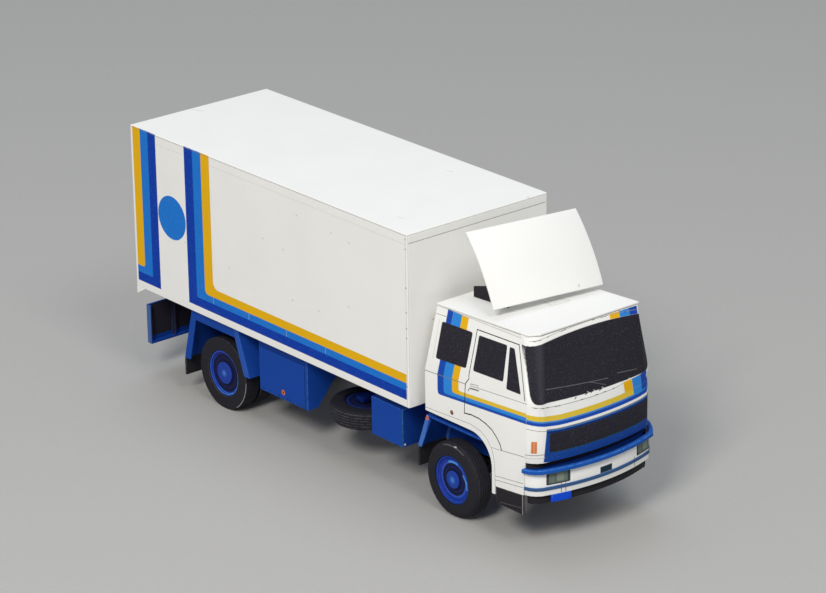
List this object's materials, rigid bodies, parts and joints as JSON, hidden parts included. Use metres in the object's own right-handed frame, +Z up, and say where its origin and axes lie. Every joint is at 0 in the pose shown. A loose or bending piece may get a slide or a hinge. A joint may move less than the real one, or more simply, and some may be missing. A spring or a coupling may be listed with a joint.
{
  "type": "folded card model truck",
  "caption": "A small folded and glued card model of a cab-over box truck with a roof deflector, striped sides and card wheels that roll on axle pins",
  "frame": {"origin": "on the table, under the middle of the model's bounding box", "axes": "+Z up, +Y towards the tail along the longest side, the cab looks to -Y and the right-hand side to -X"},
  "size_m": [0.025, 0.0882, 0.0399],
  "materials": {
    "white_card": "matt, laser printed",
    "blue_card": "matt, laser printed",
    "black_card": "matt, laser printed",
    "tyre_card": "matt, laser printed"
  },
  "bodies": {
    "truck": {"box_wrap": "white_card", "box_front_panel": "white_card", "box_rear_panel": "white_card", "box_floor": "white_card", "box_corner_tab_right": "white_card", "box_corner_tab_left": "white_card", "cab_side_right": "white_card", "cab_side_left": "white_card", "cab_front": "white_card", "cab_roof": "white_card", "cab_back": "white_card", "cab_floor": "white_card", "bumper_face": "white_card", "deflector": "white_card", "frame_rail_right": "blue_card", "frame_rail_left": "blue_card", "frame_crossmembers": "blue_card", "box_bearers": "blue_card", "cab_mounts": "blue_card", "front_axle": "blue_card", "rear_axle": "blue_card", "front_springs": "blue_card", "rear_springs": "blue_card", "locker_right": "blue_card", "locker_left": "blue_card", "small_box_right": "blue_card", "small_box_left": "blue_card", "rear_mudguard_right": "blue_card", "rear_mudguard_left": "blue_card", "front_wing_right": "blue_card", "front_wing_left": "blue_card", "rear_bumper": "blue_card", "bumper_rail": "blue_card", "bumper_low_strip": "blue_card", "plate_tab": "blue_card", "spare_carrier": "blue_card", "spare_rim": "blue_card", "bumper_backing": "black_card", "front_spoiler": "black_card", "cab_valance_right": "black_card", "cab_valance_left": "black_card", "deflector_brackets": "black_card", "rear_flap_right": "black_card", "rear_flap_left": "black_card", "front_flap_right": "black_card", "front_flap_left": "black_card", "spare_tyre": "tyre_card"},
    "wheel_front_right": {"front_tyre_right": "tyre_card", "front_rim_right": "blue_card", "front_hub_cap_right": "blue_card"},
    "wheel_front_left": {"front_tyre_left": "tyre_card", "front_rim_left": "blue_card", "front_hub_cap_left": "blue_card"},
    "wheel_rear_right": {"rear_tyres_right": "tyre_card", "rear_rim_right": "blue_card", "rear_hub_cap_right": "blue_card"},
    "wheel_rear_left": {"rear_tyres_left": "tyre_card", "rear_rim_left": "blue_card", "rear_hub_cap_left": "blue_card"}
  },
  "joints": [
    {"name": "wheel_front_right_roll", "type": "hinge", "parent": "truck", "child": "wheel_front_right", "pos_m": [0, -0.02495, 0.0054], "axis": [1, 0, 0], "continuous": true},
    {"name": "wheel_front_left_roll", "type": "hinge", "parent": "truck", "child": "wheel_front_left", "pos_m": [0, -0.02495, 0.0054], "axis": [1, 0, 0], "continuous": true},
    {"name": "wheel_rear_right_roll", "type": "hinge", "parent": "truck", "child": "wheel_rear_right", "pos_m": [0, 0.02565, 0.0054], "axis": [1, 0, 0], "continuous": true},
    {"name": "wheel_rear_left_roll", "type": "hinge", "parent": "truck", "child": "wheel_rear_left", "pos_m": [0, 0.02565, 0.0054], "axis": [1, 0, 0], "continuous": true}
  ]
}
